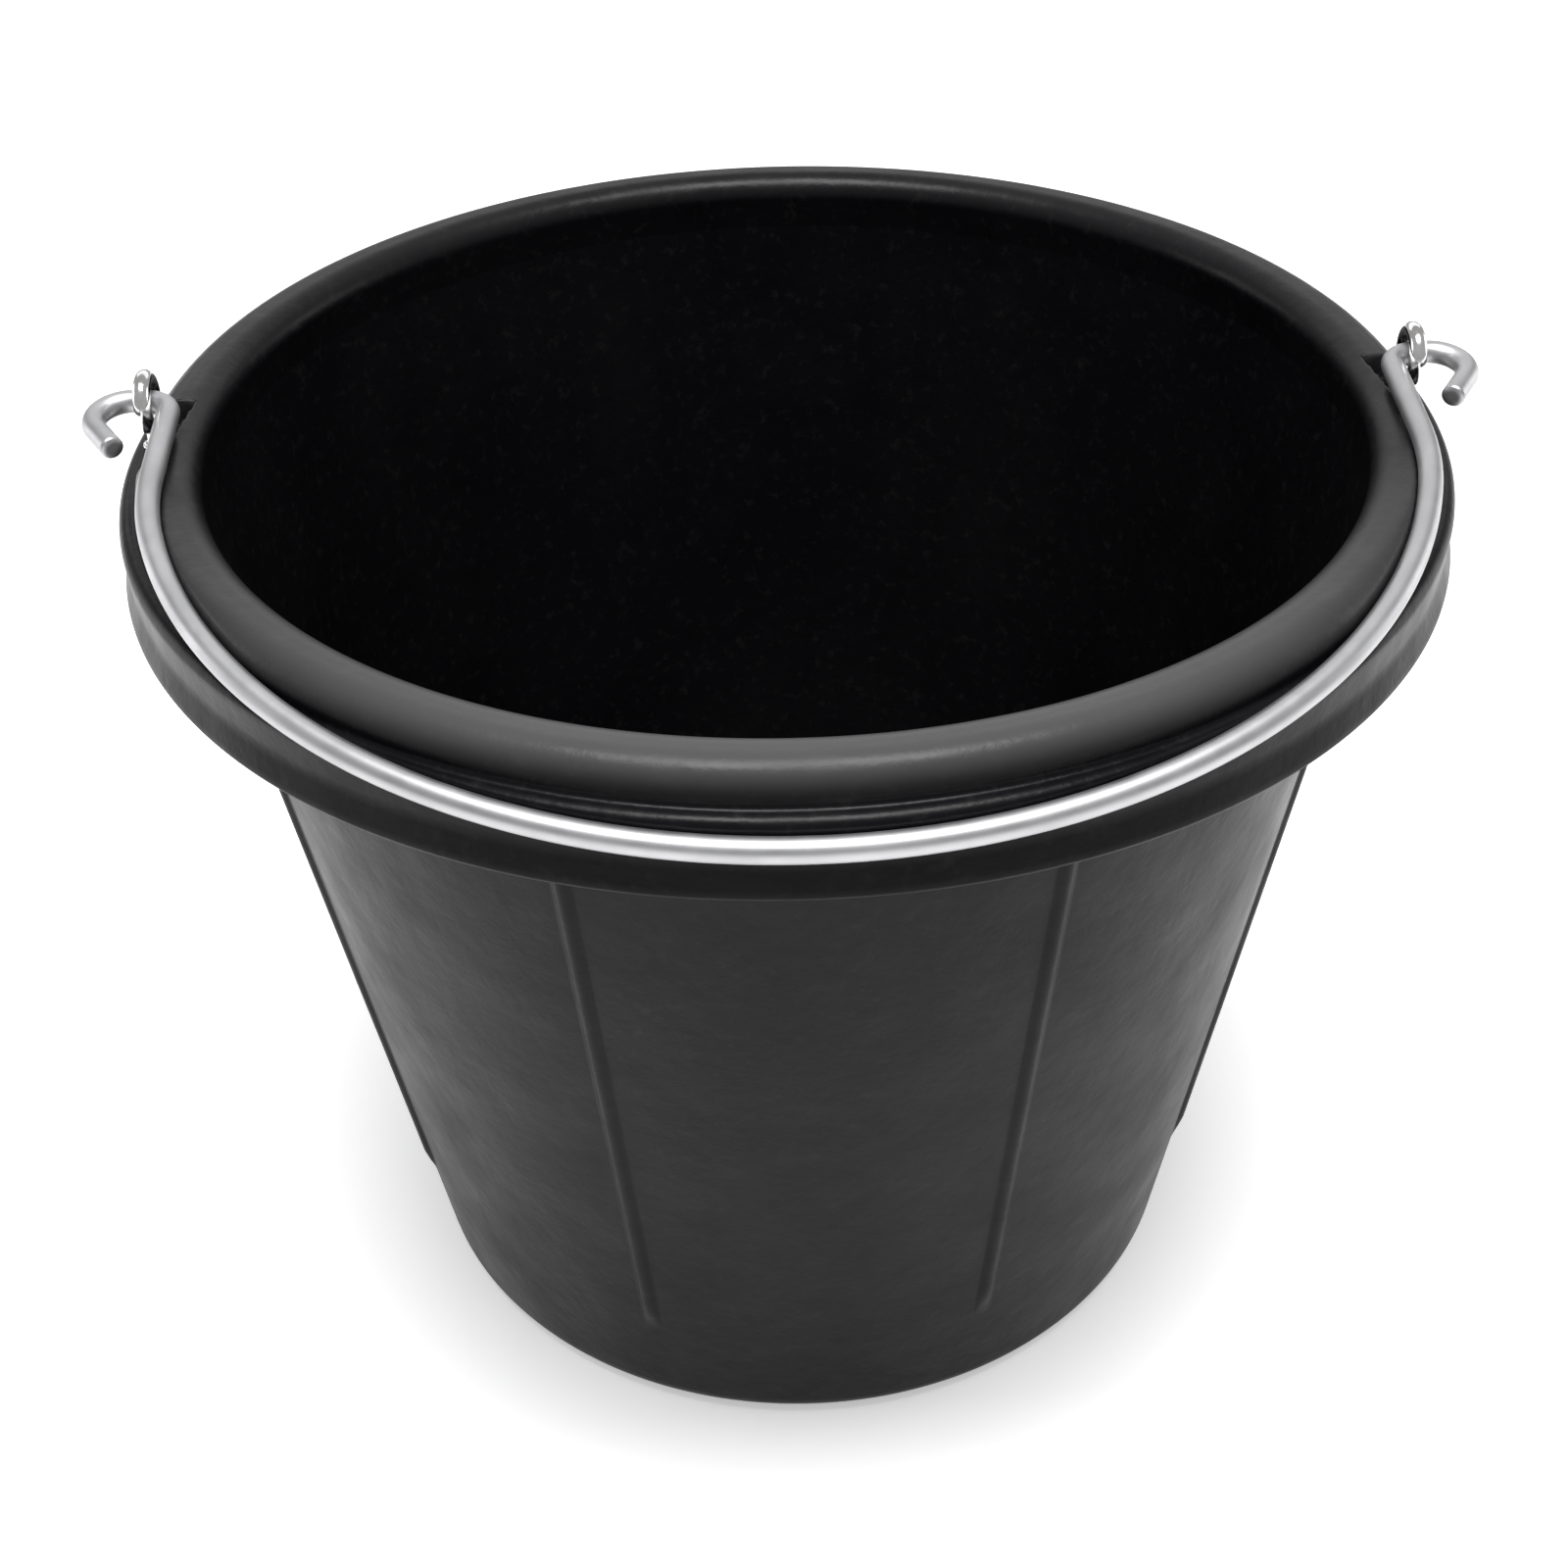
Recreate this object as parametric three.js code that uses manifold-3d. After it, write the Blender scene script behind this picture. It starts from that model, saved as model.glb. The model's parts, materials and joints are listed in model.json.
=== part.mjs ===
// Moulded rubber feed bucket with a steel wire bail that pivots in two eye bolts.
//
// Millimetres, +Z up. The origin is the centre of the flat underside. The bail turns
// about a line parallel to X, and it is modelled lying towards -Y, against the rim.

import * as THREE from 'three';
import { mergeVertices } from 'three/addons/utils/BufferGeometryUtils.js';
import Module from 'manifold-3d';

// ---------------------------------------------------------------------------
// Driving dimensions
// ---------------------------------------------------------------------------

// Bucket
const RIM_RADIUS = 175;        // lower outside edge of the skirt, the widest part
const CROWN_HEIGHT = 268;      // top of the rolled crown
const BASE_RADIUS = 115.3;     // outside of the wall where it would meet the ground
const BASE_CORNER = 8;         // rounding between underside and wall
const WALL = 5;                // wall thickness along the radius
const FLOOR = 7;               // thickness of the floor
const FLOOR_CORNER = 10;       // rounding between floor and wall, inside

// Rim: a rolled crown, a narrow ledge outside it and a skirt that hangs from the ledge
const CROWN_WIDTH = 17;        // inside face to outside face
const CROWN_DEPTH = 16;        // height over which the crown is full width
const CROWN_RISE = 9.5;        // top of the crown above the ledge
const CROWN_LIP = 7;           // inner rounding of the crown
const CROWN_SHOULDER = 8.5;    // outer rounding of the crown, where its width allows
const CROWN_FLAT = 1;          // least flat between the two roundings
const LEDGE_WIDTH = 4.9;       // crown to outside edge
const LEDGE_EDGE = 4.2;        // rounding of the ledge's outside edge
const LEDGE_THICKNESS = 5.5;   // ledge above the open channel
const SKIRT_DEPTH = 20.5;      // ledge down to the lower edge
const SKIRT_WALL = 3.6;        // thickness of the skirt
const SKIRT_FLARE = 1.1;       // lower edge outside the ledge's edge
const SKIRT_WAIST = 0.7;       // how far the skirt draws in between its edges
const SKIRT_ROUND = 1.5;       // rounding of the lower edge

// Ribs down the outside of the wall
const RIB_COUNT = 8;
const RIB_WIDTH = 4.6;
const RIB_HEIGHT = 1.5;
const RIB_FOOT = 38;           // height where a rib ends above the ground

// Bail wire
const WIRE = 6;                // diameter
const REST_DROP = 4.4;         // bail's middle below the ledge, at its lowest point
const BOW_SPREAD = 2.3;        // bow wider than the two legs, on each side
const BOW_START = 15;          // degrees of the bow's half circle that each leg replaces
const EYE_BEND = 6;            // radius of the bend between leg and eye, on the centre line
const EYE_RAKE = 8;            // degrees that the wire leans back as it goes through the eye
const HOOK_NECK = 2.7;         // straight wire from the middle of the eye to the hook
const HOOK_BEND = 8.5;         // radius of the hook, on the centre line
const HOOK_TURN = 131;         // degrees that the hook turns
const HOOK_TAIL = 10.2;        // straight wire from the hook to the cut end

// Eye bolts
const EYE_INSET = 3;           // middle of the eye inside the crown's outer face
const EYE_WIRE = 4.6;          // diameter of the loop's section
const EYE_NECK = 4.5;          // seat up to the loop
const NECK = 3.4;              // diameter of the neck below the loop
const COLLAR_RADIUS = 3.2;     // collar that rests on the seat
const COLLAR_HEIGHT = 0.9;
const SHANK = 4;               // diameter of the threaded shank
const SHANK_END = 2.5;         // shank showing below the nut

// Notch in the crown that gives each eye its flat seat
const SEAT_RISE = 2.5;         // seat above the ledge
const NOTCH_ROOM = 4;          // notch behind the loop
const NOTCH_FRONT = 20;        // notch in front of the pivot line
const NOTCH_SLANT = 4;         // how far its inner wall comes outwards at the front
const NOTCH_CORNER = 2;

// Hardware under the ledge
const WASHER_RADIUS = 4.5;
const WASHER_THICKNESS = 1;
const NUT_FLATS = 7;           // across the flats
const NUT_HEIGHT = 3.2;
const NUT_ROOM = 0.7;          // relief in the channel around the washer

// Fits
const CLEARANCE = 0.3;         // gap between pieces that touch
const EYE_PLAY = 0.9;          // gap all round between the bail's wire and the loop
const SIDE_PLAY = 1;           // gap between the bail's straight leg and the loop

// Roundness of the facets
const LATHE_SIDES = 80;
const WIRE_SIDES = 12;
const BEND_STEP = Math.PI / 9; // turn of one step in a tight bend
const BOW_STEPS = 40;          // steps in the bail's bow

// ---------------------------------------------------------------------------
// Sizes that follow from the driving dimensions
// ---------------------------------------------------------------------------

const LEDGE_Z = CROWN_HEIGHT - CROWN_RISE;
const SKIRT_FOOT_Z = LEDGE_Z - SKIRT_DEPTH;
const CHANNEL_ROOF_Z = LEDGE_Z - LEDGE_THICKNESS;
const NECK_Z = CROWN_HEIGHT - CROWN_DEPTH;
const LEDGE_RADIUS = RIM_RADIUS - SKIRT_FLARE;
const CROWN_OUTSIDE = LEDGE_RADIUS - LEDGE_WIDTH;
const CROWN_INSIDE = CROWN_OUTSIDE - CROWN_WIDTH;

const EYE_OFFSET = CROWN_OUTSIDE - EYE_INSET;
const EYE_RADIUS = WIRE / 2 + EYE_PLAY + EYE_WIRE / 2;
const EYE_OUTSIDE = EYE_RADIUS + EYE_WIRE / 2;
const SEAT_Z = LEDGE_Z + SEAT_RISE;
const PIVOT_Z = SEAT_Z + EYE_NECK + EYE_OUTSIDE;

const LEG_X = EYE_OFFSET - EYE_WIRE / 2 - WIRE / 2 - SIDE_PLAY;
const BOW_RADIUS = LEG_X + BOW_SPREAD;
const REST_Y = LEDGE_RADIUS + WIRE / 2 + 2 * CLEARANCE;
const REST_Z = LEDGE_Z - REST_DROP;
const BAIL_REACH = Math.hypot(REST_Y, PIVOT_Z - REST_Z);
const BAIL_DIP = Math.atan2(PIVOT_Z - REST_Z, REST_Y);

const NOTCH_INSIDE = LEG_X - WIRE / 2 - CLEARANCE;
const NOTCH_BACK = EYE_OUTSIDE + NOTCH_ROOM;
const WASHER_Z = CHANNEL_ROOF_Z - CLEARANCE - WASHER_THICKNESS;
const NUT_Z = WASHER_Z - CLEARANCE - NUT_HEIGHT;
const SHANK_FOOT_Z = NUT_Z - SHANK_END;

// ---------------------------------------------------------------------------
// Small geometry tools
// ---------------------------------------------------------------------------

const wasm = await Module();
wasm.setup();

// A closed geometry as a solid that can be joined and cut.
function toSolid(geometry) {
  const bare = geometry.clone();
  bare.deleteAttribute('normal');
  bare.deleteAttribute('uv');
  const merged = mergeVertices(bare, 1e-4);
  return new wasm.Manifold(new wasm.Mesh({
    numProp: 3,
    vertProperties: new Float32Array(merged.attributes.position.array),
    triVerts: new Uint32Array(merged.index.array),
  }));
}

// A solid back as a three.js geometry.
function toGeometry(solid) {
  const mesh = solid.getMesh();
  const geometry = new THREE.BufferGeometry();
  geometry.setAttribute('position', new THREE.BufferAttribute(mesh.vertProperties, 3));
  geometry.setIndex(new THREE.BufferAttribute(mesh.triVerts, 1));
  geometry.computeVertexNormals();
  return geometry;
}

// Points of an arc in a profile plane, angles in degrees from the first axis.
function arc(centreX, centreY, radius, fromDegrees, toDegrees, steps) {
  const points = [];
  for (let step = 0; step <= steps; step += 1) {
    const angle = THREE.MathUtils.degToRad(fromDegrees + (toDegrees - fromDegrees) * step / steps);
    points.push(new THREE.Vector2(centreX + radius * Math.cos(angle), centreY + radius * Math.sin(angle)));
  }
  return points;
}

// A closed profile of radius and height turned about Z.
function turned(profile, sides) {
  return new THREE.LatheGeometry(profile, sides).rotateX(Math.PI / 2);
}

// An upright cylinder from one height to another, at a place on the plan.
function upright(radius, bottom, top, x, sides) {
  const geometry = new THREE.CylinderGeometry(radius, radius, top - bottom, sides);
  return geometry.rotateX(Math.PI / 2).translate(x, 0, (bottom + top) / 2);
}

// A curve whose sections stand exactly on the given points, so bends can have more of them.
class WirePath extends THREE.Curve {
  constructor(points) {
    super();
    this.points = points;
  }

  getUtoTmapping(share) {
    return share;
  }

  getPoint(share) {
    return this.points[Math.round(share * (this.points.length - 1))].clone();
  }

  getTangent(share) {
    const last = this.points.length - 1;
    const here = Math.round(share * last);
    const before = this.points[Math.max(here - 1, 0)];
    const after = this.points[Math.min(here + 1, last)];
    return after.clone().sub(before).normalize();
  }
}

// A section swept along points.
function swept(section, points) {
  const path = new WirePath(points);
  return new THREE.ExtrudeGeometry(section, { steps: points.length - 1, extrudePath: path });
}

// Joins two points by a rounded corner, as the arc's own points.
function bend(before, corner, after, radius) {
  const arriving = corner.clone().sub(before).normalize();
  const leaving = after.clone().sub(corner).normalize();
  const turn = arriving.angleTo(leaving);
  const start = corner.clone().addScaledVector(arriving, -radius * Math.tan(turn / 2));
  const inward = leaving.clone().addScaledVector(arriving, -arriving.dot(leaving)).normalize();
  const steps = Math.ceil(turn / BEND_STEP);
  const points = [];
  for (let step = 0; step <= steps; step += 1) {
    const angle = turn * step / steps;
    const point = start.clone().addScaledVector(arriving, radius * Math.sin(angle));
    points.push(point.addScaledVector(inward, radius * (1 - Math.cos(angle))));
  }
  return points;
}

// ---------------------------------------------------------------------------
// Bail
// ---------------------------------------------------------------------------

// The bail is drawn flat, with its pivot line on X and its bow towards -Y, and then
// tipped forward to its rest. Its right-hand end is made from the eye outwards: straight
// through the eye, round the hook and straight on to the cut end.
function hookPoints() {
  const rake = THREE.MathUtils.degToRad(EYE_RAKE);
  const outward = new THREE.Vector2(Math.cos(rake), Math.sin(rake));
  const start = new THREE.Vector2(EYE_OFFSET, 0).addScaledVector(outward, HOOK_NECK);
  const centreX = start.x + HOOK_BEND * outward.y;
  const centreY = start.y - HOOK_BEND * outward.x;
  const steps = Math.ceil(THREE.MathUtils.degToRad(HOOK_TURN) / BEND_STEP);
  const firstAngle = 90 + EYE_RAKE;
  const points = arc(centreX, centreY, HOOK_BEND, firstAngle, firstAngle - HOOK_TURN, steps);
  const end = THREE.MathUtils.degToRad(EYE_RAKE - HOOK_TURN);
  const tail = new THREE.Vector2(Math.cos(end), Math.sin(end)).multiplyScalar(HOOK_TAIL);
  points.push(points[points.length - 1].clone().add(tail));
  return points.map((point) => new THREE.Vector3(point.x, point.y, 0)).reverse();
}

// Where the leg's line meets the line of the wire through the eye.
function eyeCorner() {
  const rake = THREE.MathUtils.degToRad(EYE_RAKE);
  return new THREE.Vector3(LEG_X, (LEG_X - EYE_OFFSET) * Math.tan(rake), 0);
}

// A point of the bow's circle, by its angle in front of the X direction.
function bowPoint(angle) {
  const centreY = BOW_RADIUS - BAIL_REACH;
  return new THREE.Vector3(BOW_RADIUS * Math.cos(angle), centreY - BOW_RADIUS * Math.sin(angle), 0);
}

// Where the leg's line meets the line that touches the start of the bow.
function bowCorner() {
  const start = THREE.MathUtils.degToRad(BOW_START);
  const bowStart = bowPoint(start);
  return new THREE.Vector3(LEG_X, bowStart.y + (LEG_X - bowStart.x) / Math.tan(start), 0);
}

// The bend from the wire through the eye into the leg.
function eyeBendPoints() {
  return bend(new THREE.Vector3(EYE_OFFSET, 0, 0), eyeCorner(), bowCorner(), EYE_BEND);
}

// The long easy bend from the leg into the bow.
function bowBendPoints() {
  const start = THREE.MathUtils.degToRad(BOW_START);
  const bowStart = bowPoint(start);
  const radius = bowCorner().distanceTo(bowStart) / Math.tan(start / 2);
  return bend(eyeCorner(), bowCorner(), bowStart, radius);
}

function bowPoints() {
  const start = THREE.MathUtils.degToRad(BOW_START);
  const points = [];
  for (let step = 1; step < BOW_STEPS; step += 1) {
    points.push(bowPoint(start + (Math.PI - 2 * start) * step / BOW_STEPS));
  }
  return points;
}

// The right-hand points, the bow, and the same points again on the left.
function withMirror(right) {
  const left = right.map((point) => new THREE.Vector3(-point.x, point.y, 0)).reverse();
  return [...right, ...bowPoints(), ...left];
}

function bailGeometry() {
  const section = new THREE.Shape(arc(0, 0, WIRE / 2, 0, 360 - 360 / WIRE_SIDES, WIRE_SIDES - 1));
  return swept(section, withMirror([...hookPoints(), ...eyeBendPoints(), ...bowBendPoints()]));
}

// Tips something drawn in the bail's own plane to where the bail rests.
function placeWithBail(object) {
  object.rotation.x = BAIL_DIP;
  object.position.z = PIVOT_Z;
  return object;
}

// ---------------------------------------------------------------------------
// Bucket body
// ---------------------------------------------------------------------------

// Outside radius of the plain wall at a height.
function wallOutside(z) {
  const neckRadius = CROWN_INSIDE + WALL;
  return BASE_RADIUS + (neckRadius - BASE_RADIUS) * z / NECK_Z;
}

// Angle of the wall from upright, in degrees.
function wallLean() {
  return THREE.MathUtils.radToDeg(Math.atan((wallOutside(NECK_Z) - BASE_RADIUS) / NECK_Z));
}

// Distance from a floor corner to the centre of the rounding that touches the floor and
// the leaning wall.
function cornerInset(radius) {
  const lean = THREE.MathUtils.degToRad(wallLean());
  return radius * (1 / Math.cos(lean) - Math.tan(lean));
}

function outerProfile() {
  const lean = wallLean();
  const skirtInside = LEDGE_RADIUS - SKIRT_WALL;
  const waistZ = (SKIRT_FOOT_Z + LEDGE_Z - LEDGE_EDGE) / 2;
  const footX = RIM_RADIUS - SKIRT_ROUND;
  return [
    new THREE.Vector2(0, 0),
    ...arc(BASE_RADIUS - cornerInset(BASE_CORNER), BASE_CORNER, BASE_CORNER, -90, -lean, 5),
    new THREE.Vector2(wallOutside(CHANNEL_ROOF_Z), CHANNEL_ROOF_Z),
    new THREE.Vector2(skirtInside, CHANNEL_ROOF_Z),
    new THREE.Vector2(footX - SKIRT_WALL + SKIRT_ROUND, SKIRT_FOOT_Z),
    ...arc(footX, SKIRT_FOOT_Z + SKIRT_ROUND, SKIRT_ROUND, -90, 0, 3),
    new THREE.Vector2(LEDGE_RADIUS - SKIRT_WAIST, waistZ),
    ...arc(LEDGE_RADIUS - LEDGE_EDGE, LEDGE_Z - LEDGE_EDGE, LEDGE_EDGE, 0, 90, 4),
  ];
}

function crownProfile() {
  const shoulder = Math.min(CROWN_SHOULDER, CROWN_WIDTH - CROWN_LIP - CROWN_FLAT);
  const shoulderX = CROWN_OUTSIDE - shoulder;
  return [
    new THREE.Vector2(CROWN_OUTSIDE, LEDGE_Z),
    ...arc(shoulderX, CROWN_HEIGHT - shoulder, shoulder, 0, 90, 5),
    ...arc(CROWN_INSIDE + CROWN_LIP, CROWN_HEIGHT - CROWN_LIP, CROWN_LIP, 90, 180, 6),
    new THREE.Vector2(CROWN_INSIDE, NECK_Z),
  ];
}

function floorProfile() {
  const insideRadius = wallOutside(FLOOR) - WALL;
  const centreX = insideRadius - cornerInset(FLOOR_CORNER);
  return [
    ...arc(centreX, FLOOR + FLOOR_CORNER, FLOOR_CORNER, -wallLean(), -90, 5),
    new THREE.Vector2(0, FLOOR),
  ];
}

// One rib: a bar with round ends, sunk in the wall so that only RIB_HEIGHT stands out.
function ribGeometry(angle) {
  const barRadius = (RIB_WIDTH * RIB_WIDTH / 4 + RIB_HEIGHT * RIB_HEIGHT) / (2 * RIB_HEIGHT);
  const sink = barRadius - RIB_HEIGHT;
  const foot = new THREE.Vector3(wallOutside(RIB_FOOT) - sink, 0, RIB_FOOT + barRadius);
  const head = new THREE.Vector3(wallOutside(CHANNEL_ROOF_Z) - sink, 0, CHANNEL_ROOF_Z);
  const along = head.clone().sub(foot);
  const bar = new THREE.CapsuleGeometry(barRadius, along.length(), 4, 16);
  const up = new THREE.Vector3(0, 1, 0);
  const turn = new THREE.Quaternion().setFromUnitVectors(up, along.clone().normalize());
  const middle = foot.clone().add(head).multiplyScalar(0.5);
  return bar.applyQuaternion(turn).translate(middle.x, middle.y, middle.z).rotateZ(angle);
}

// The cut that opens the crown around the right-hand eye, down to the seat.
function notchGeometry() {
  const outside = RIM_RADIUS + WIRE;
  const outline = new THREE.Shape([
    new THREE.Vector2(outside, -NOTCH_FRONT),
    new THREE.Vector2(outside, NOTCH_BACK),
    ...arc(NOTCH_INSIDE + NOTCH_CORNER, NOTCH_BACK - NOTCH_CORNER, NOTCH_CORNER, 90, 180, 3),
    new THREE.Vector2(NOTCH_INSIDE + NOTCH_SLANT, -NOTCH_FRONT),
  ]);
  const depth = CROWN_HEIGHT + WIRE - SEAT_Z;
  return new THREE.ExtrudeGeometry(outline, { depth, bevelEnabled: false }).translate(0, 0, SEAT_Z);
}

// The groove that lets the resting bail into the crown: round below, open upwards.
function grooveGeometry() {
  const radius = WIRE / 2 + CLEARANCE;
  const section = new THREE.Shape([
    ...arc(0, 0, radius, -90, 90, 8),
    new THREE.Vector2(-2 * WIRE, radius),
    new THREE.Vector2(-2 * WIRE, -radius),
  ]);
  const groove = swept(section, withMirror([eyeCorner(), ...bowBendPoints()]));
  const carrier = placeWithBail(new THREE.Object3D());
  carrier.updateMatrix();
  return groove.applyMatrix4(carrier.matrix);
}

// Everything that is cut away for one eye bolt, for the right-hand side.
function eyeCuts() {
  const bore = upright(SHANK / 2 + CLEARANCE, SKIRT_FOOT_Z, SEAT_Z + 1, EYE_OFFSET, 20);
  const relief = upright(WASHER_RADIUS + NUT_ROOM, SKIRT_FOOT_Z - 1, CHANNEL_ROOF_Z, EYE_OFFSET, 24);
  return toSolid(notchGeometry()).add(toSolid(bore)).add(toSolid(relief));
}

function bodyGeometry() {
  const profile = [...outerProfile(), ...crownProfile(), ...floorProfile()];
  let body = toSolid(turned(profile, LATHE_SIDES));
  for (let rib = 0; rib < RIB_COUNT; rib += 1) {
    const angle = (rib + 0.5) * 2 * Math.PI / RIB_COUNT;
    body = body.add(toSolid(ribGeometry(angle)));
  }
  const cuts = eyeCuts();
  body = body.subtract(cuts).subtract(cuts.mirror([1, 0, 0]));
  return toGeometry(body.subtract(toSolid(grooveGeometry())));
}

// ---------------------------------------------------------------------------
// Eye bolts, washers and nuts, each drawn on the Z axis
// ---------------------------------------------------------------------------

function eyeBoltGeometry() {
  const loop = new THREE.TorusGeometry(EYE_RADIUS, EYE_WIRE / 2, 12, 32);
  loop.rotateY(Math.PI / 2).translate(0, 0, PIVOT_Z);
  const collarZ = SEAT_Z + CLEARANCE;
  const collar = upright(COLLAR_RADIUS, collarZ, collarZ + COLLAR_HEIGHT, 0, 24);
  const neck = upright(NECK / 2, collarZ, PIVOT_Z - EYE_RADIUS, 0, 20);
  const shank = upright(SHANK / 2, SHANK_FOOT_Z, collarZ + COLLAR_HEIGHT / 2, 0, 20);
  return toGeometry(toSolid(loop).add(toSolid(neck)).add(toSolid(collar)).add(toSolid(shank)));
}

function washerGeometry() {
  const bore = SHANK / 2 + CLEARANCE;
  return turned([
    new THREE.Vector2(bore, WASHER_Z),
    new THREE.Vector2(WASHER_RADIUS, WASHER_Z),
    new THREE.Vector2(WASHER_RADIUS, WASHER_Z + WASHER_THICKNESS),
    new THREE.Vector2(bore, WASHER_Z + WASHER_THICKNESS),
    new THREE.Vector2(bore, WASHER_Z),
  ], 32);
}

function nutGeometry() {
  const cornerRadius = NUT_FLATS / Math.sqrt(3);
  const prism = upright(cornerRadius, NUT_Z, NUT_Z + NUT_HEIGHT, 0, 6);
  const bore = upright(SHANK / 2 + CLEARANCE, NUT_Z - 1, NUT_Z + NUT_HEIGHT + 1, 0, 20);
  return toGeometry(toSolid(prism).subtract(toSolid(bore)));
}

// ---------------------------------------------------------------------------
// Assembly
// ---------------------------------------------------------------------------

const rubber = { color: 0x24262a, roughness: 0.62, metalness: 0 };
const galvanised = { color: 0xc3c5c6, roughness: 0.34, metalness: 1 };
const bright = { color: 0xd6d7d8, roughness: 0.16, metalness: 1 };
const zincPlated = { color: 0xb9bcbf, roughness: 0.3, metalness: 1 };

function piece(name, geometry, finish) {
  const mesh = new THREE.Mesh(geometry, new THREE.MeshStandardMaterial(finish));
  mesh.name = name;
  return mesh;
}

const group = new THREE.Group();
group.add(piece('bucket_body', bodyGeometry(), rubber));
group.add(placeWithBail(piece('bail_handle', bailGeometry(), galvanised)));

for (const [side, x] of [['left', -EYE_OFFSET], ['right', EYE_OFFSET]]) {
  const mounting = new THREE.Group();
  mounting.position.x = x;
  mounting.add(piece(`eye_bolt_${side}`, eyeBoltGeometry(), bright));
  mounting.add(piece(`washer_${side}`, washerGeometry(), zincPlated));
  mounting.add(piece(`nut_${side}`, nutGeometry(), zincPlated));
  group.add(mounting);
}

export default group;
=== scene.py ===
"""Looks for a rubber feed bucket with a wire bail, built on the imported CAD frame.

Metres, +Z up, the origin at the centre of the flat underside. The bail's pivot line is
parallel to X, and the bail rests towards -Y. Each piece stands for the CAD node of the
same place and rides on that node's body.
"""

import json
import math

import bpy
import numpy as np
from mathutils import Matrix, Vector


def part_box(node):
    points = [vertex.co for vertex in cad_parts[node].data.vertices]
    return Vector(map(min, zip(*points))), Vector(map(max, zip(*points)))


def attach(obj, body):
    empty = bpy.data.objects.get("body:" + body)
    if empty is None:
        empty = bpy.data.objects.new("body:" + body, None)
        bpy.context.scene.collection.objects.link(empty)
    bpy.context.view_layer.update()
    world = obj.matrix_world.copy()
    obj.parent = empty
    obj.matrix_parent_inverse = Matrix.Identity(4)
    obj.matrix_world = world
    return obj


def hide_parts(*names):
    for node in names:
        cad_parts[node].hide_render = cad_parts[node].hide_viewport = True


MM = 0.001
TINY = 1e-6           # rounding error, in metres or degrees
COINCIDENT = 1e-9     # points nearer than this are one point

# ---------------------------------------------------------------------------
# The frame, and the sizes that come from it
# ---------------------------------------------------------------------------

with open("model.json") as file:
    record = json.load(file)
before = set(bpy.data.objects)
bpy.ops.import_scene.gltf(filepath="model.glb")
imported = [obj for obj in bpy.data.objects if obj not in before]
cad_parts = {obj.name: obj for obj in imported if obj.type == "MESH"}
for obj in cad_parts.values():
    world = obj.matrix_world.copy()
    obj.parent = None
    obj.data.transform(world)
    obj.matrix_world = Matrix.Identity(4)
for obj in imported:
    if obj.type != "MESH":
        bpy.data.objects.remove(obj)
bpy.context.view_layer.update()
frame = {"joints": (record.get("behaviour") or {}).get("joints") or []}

BODY_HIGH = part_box("bucket_body")[1]
RIM_RADIUS = BODY_HIGH[0]
CROWN_HEIGHT = BODY_HIGH[2]
PIVOT_Z = frame["joints"][0]["pos_m"][2]
EYE_LOW, EYE_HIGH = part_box("eye_bolt_right")
EYE_OFFSET = (EYE_LOW[0] + EYE_HIGH[0]) / 2
SHANK_FOOT_Z = EYE_LOW[2]

# Bucket wall and floor
BASE_RADIUS = 115.3 * MM
BASE_CORNER = 8 * MM
WALL = 5 * MM
FLOOR = 7 * MM
FLOOR_CORNER = 10 * MM
CAP_RADIUS = 2 * MM   # flat cap that closes the turned skin at the axis

# Rim
CROWN_WIDTH = 17 * MM
CROWN_DEPTH = 16 * MM
CROWN_RISE = 9.5 * MM
CROWN_LIP = 7 * MM
CROWN_SHOULDER = 8 * MM   # the CAD's 8.5 mm, less room for the fillet at its foot
CROWN_FILLET = CROWN_RISE - CROWN_SHOULDER
LEDGE_WIDTH = 4.9 * MM
LEDGE_EDGE = LEDGE_WIDTH - CROWN_FILLET
LEDGE_THICKNESS = 5.5 * MM
SKIRT_DEPTH = 20.5 * MM
SKIRT_WALL = 3.6 * MM
SKIRT_FLARE = 1.1 * MM
SKIRT_WAIST = 0.7 * MM
SKIRT_ROUND = 1.5 * MM
CHANNEL_FILLET = 2 * MM

LEDGE_Z = CROWN_HEIGHT - CROWN_RISE
SKIRT_FOOT_Z = LEDGE_Z - SKIRT_DEPTH
CHANNEL_ROOF_Z = LEDGE_Z - LEDGE_THICKNESS
NECK_Z = CROWN_HEIGHT - CROWN_DEPTH
LEDGE_RADIUS = RIM_RADIUS - SKIRT_FLARE
CROWN_OUTSIDE = LEDGE_RADIUS - LEDGE_WIDTH
CROWN_INSIDE = CROWN_OUTSIDE - CROWN_WIDTH
WALL_SLOPE = (CROWN_INSIDE + WALL - BASE_RADIUS) / NECK_Z

# Ribs
RIB_COUNT = 8
RIB_WIDTH = 4.6 * MM
RIB_HEIGHT = 1.5 * MM
RIB_FOOT = 38 * MM
RIB_FADE = 7 * MM
RIB_BLEND = 0.35 * MM

# Bail
WIRE = 6 * MM
REST_DROP = 4.4 * MM  # bail's middle below the ledge, at its lowest point
BOW_SPREAD = 2.3 * MM
BOW_START = math.radians(15)
EYE_BEND = 6 * MM
EYE_RAKE = math.radians(8)
HOOK_NECK = 2.7 * MM
HOOK_BEND = 8.5 * MM
HOOK_TURN = math.radians(131)
HOOK_TAIL = 10.2 * MM
SIDE_PLAY = 1 * MM
CUT_CHAMFER = 0.45 * MM
GROOVE_WALL = 5       # rise of the walls of the bail's groove, for each unit outwards
GROOVE_EDGE = 2.2 * MM

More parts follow.
